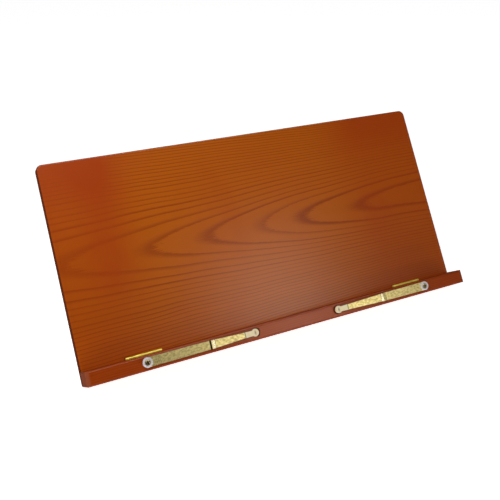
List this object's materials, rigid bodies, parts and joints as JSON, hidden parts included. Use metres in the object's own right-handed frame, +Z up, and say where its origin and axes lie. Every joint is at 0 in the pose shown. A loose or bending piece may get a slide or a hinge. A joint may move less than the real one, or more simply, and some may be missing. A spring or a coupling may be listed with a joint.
{
  "type": "photo album stand",
  "caption": "Wide leaning wooden panel with a fold-up ledge at its foot, turning brass page-holder arms on the ledge and a folding support leg behind.",
  "frame": {"origin": "middle of the flat at the panel's foot, on the table", "axes": "+X to the viewer's right along the ledge, -Y towards the viewer, +Z up"},
  "size_m": [0.48, 0.1917, 0.2039],
  "materials": {
    "panel_wood": "cherry stain under gloss varnish, flat-sawn grain along the width",
    "ledge_wood": "redder cherry stain under gloss varnish, straight grain",
    "leg_wood": "cherry stain under satin varnish",
    "arm_brass": "tumbled, lightly mottled",
    "hinge_brass": "bright",
    "screw_brass": "satin",
    "clear_sleeve": "clear, slightly yellowed",
    "washer_nylon": "smooth, translucent white"
  },
  "bodies": {
    "panel": {"back_panel": "panel_wood", "ledge_hinge_left_panel_leaf": "hinge_brass", "ledge_hinge_left_pin": "hinge_brass", "ledge_hinge_right_panel_leaf": "hinge_brass", "ledge_hinge_right_pin": "hinge_brass", "ledge_hinge_panel_screws": "screw_brass", "leg_hinge_left_fixed_leaf": "hinge_brass", "leg_hinge_left_pin": "hinge_brass", "leg_hinge_right_fixed_leaf": "hinge_brass", "leg_hinge_right_pin": "hinge_brass", "leg_hinge_panel_screws": "screw_brass"},
    "ledge": {"ledge": "ledge_wood", "ledge_hinge_left_ledge_leaf": "hinge_brass", "ledge_hinge_right_ledge_leaf": "hinge_brass", "ledge_hinge_ledge_screws": "screw_brass", "arm_left_spacer": "washer_nylon", "arm_left_cup_washer": "washer_nylon", "arm_left_screw": "screw_brass", "arm_right_spacer": "washer_nylon", "arm_right_cup_washer": "washer_nylon", "arm_right_screw": "screw_brass"},
    "arm_left": {"arm_left": "arm_brass", "arm_left_sleeve": "clear_sleeve"},
    "arm_right": {"arm_right": "arm_brass", "arm_right_sleeve": "clear_sleeve"},
    "leg": {"leg_stile_left": "leg_wood", "leg_stile_right": "leg_wood", "leg_top_rail": "leg_wood", "leg_bottom_rail": "leg_wood", "leg_hinge_left_moving_leaf": "hinge_brass", "leg_hinge_right_moving_leaf": "hinge_brass", "leg_hinge_leg_screws": "screw_brass"}
  },
  "joints": [
    {"name": "ledge_fold", "type": "hinge", "parent": "panel", "child": "ledge", "pos_m": [0, 0.00069, 0.01716], "axis": [-1, 0, 0], "range_deg": [0, 90]},
    {"name": "arm_left_turn", "type": "hinge", "parent": "ledge", "child": "arm_left", "pos_m": [-0.177, -0.02729, 0.0258], "axis": [0, -0.848, 0.5299], "range_deg": [0, 180]},
    {"name": "arm_right_turn", "type": "hinge", "parent": "ledge", "child": "arm_right", "pos_m": [0.177, -0.02729, 0.0258], "axis": [0, 0.848, -0.5299], "range_deg": [0, 180]},
    {"name": "leg_fold", "type": "hinge", "parent": "panel", "child": "leg", "pos_m": [0, 0.09053, 0.13755], "axis": [-1, 0, 0], "range_deg": [0, 53]}
  ]
}
